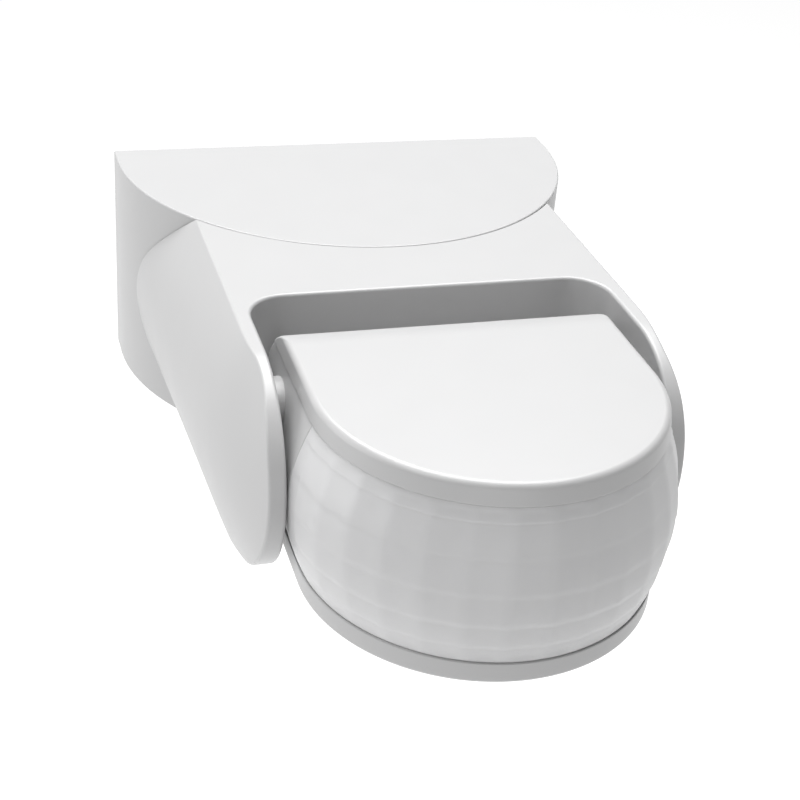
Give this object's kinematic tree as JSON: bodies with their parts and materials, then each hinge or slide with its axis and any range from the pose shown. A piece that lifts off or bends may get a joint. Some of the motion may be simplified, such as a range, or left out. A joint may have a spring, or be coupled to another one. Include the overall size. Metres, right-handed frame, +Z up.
{
  "type": "motion sensor",
  "caption": "Wall-mounted infrared motion sensor: rounded base, forked arm that pans, and a tilting head with a Fresnel lens and trimmer knobs underneath.",
  "frame": {"origin": "centre of the flat back that lies on the wall", "axes": "+Y into the wall, the head faces -Y; +Z up; X across"},
  "size_m": [0.08, 0.1168, 0.038],
  "materials": {
    "white_plastic": "satin moulded, fine texture",
    "grey_plastic": "moulded",
    "rubber": "soft matt",
    "steel": "zinc plated",
    "brass": "plain",
    "circuit_board": "solder mask",
    "blue_plastic": "moulded",
    "red_plastic": "moulded",
    "aluminium_can": "drawn can",
    "ceramic_fuse": "glazed tube",
    "wire": "insulated sheath",
    "bush_plastic": "bearing plastic",
    "lens_plastic": "milky, faceted inside",
    "dark_glass": "filter window",
    "black_plastic": "moulded",
    "knob_plastic": "moulded"
  },
  "bodies": {
    "base": {"wall_plate": "grey_plastic", "edge_gasket": "rubber", "cable_grommet": "rubber", "base_shell": "white_plastic", "shell_screws": "steel", "terminal_block": "grey_plastic", "terminal_cages": "brass", "terminal_screws": "steel", "power_board": "circuit_board", "board_screws": "steel", "relay": "blue_plastic", "film_capacitor": "red_plastic", "electrolytic_capacitor": "aluminium_can", "fuse": "ceramic_fuse", "varistor": "blue_plastic", "base_wires": "wire"},
    "arm": {"yoke_shell": "white_plastic", "yoke_cover": "white_plastic", "yoke_screws": "steel", "pan_shoe": "grey_plastic", "pan_screws": "steel", "yoke_wires": "wire", "pivot_bush_left": "bush_plastic", "pivot_bush_right": "bush_plastic"},
    "head": {"head_cap": "white_plastic", "head_housing": "white_plastic", "head_foot": "white_plastic", "lens": "lens_plastic", "lens_seal": "rubber", "foot_screws": "steel", "pivot_tube": "steel", "pivot_pin": "steel", "friction_washers": "steel", "sensor_board": "circuit_board", "pir_sensor": "aluminium_can", "pir_window": "dark_glass", "light_sensor": "dark_glass", "status_led": "red_plastic", "signal_chip": "black_plastic", "board_capacitors": "aluminium_can", "control_board": "circuit_board", "trimmers": "blue_plastic", "board_header": "black_plastic", "head_wires": "wire"},
    "time_control": {"time_knob": "knob_plastic"},
    "lux_control": {"lux_knob": "knob_plastic"},
    "range_control": {"range_knob": "knob_plastic"}
  },
  "joints": [
    {"name": "pan", "type": "hinge", "parent": "base", "child": "arm", "pos_m": [0, -0.0045, 0], "axis": [0, 0, 1], "range_deg": [-15, 15]},
    {"name": "tilt", "type": "hinge", "parent": "arm", "child": "head", "pos_m": [0, -0.074, 0.0086], "axis": [1, 0, 0], "range_deg": [-15, 45]},
    {"name": "time_turn", "type": "hinge", "parent": "head", "child": "time_control", "pos_m": [-0.012, -0.0925, -0.0108], "axis": [0, 0, 1], "range_deg": [-135, 135]},
    {"name": "lux_turn", "type": "hinge", "parent": "head", "child": "lux_control", "pos_m": [0, -0.0925, -0.0108], "axis": [0, 0, 1], "range_deg": [-135, 135]},
    {"name": "range_turn", "type": "hinge", "parent": "head", "child": "range_control", "pos_m": [0.012, -0.0925, -0.0108], "axis": [0, 0, 1], "range_deg": [-135, 135]}
  ]
}
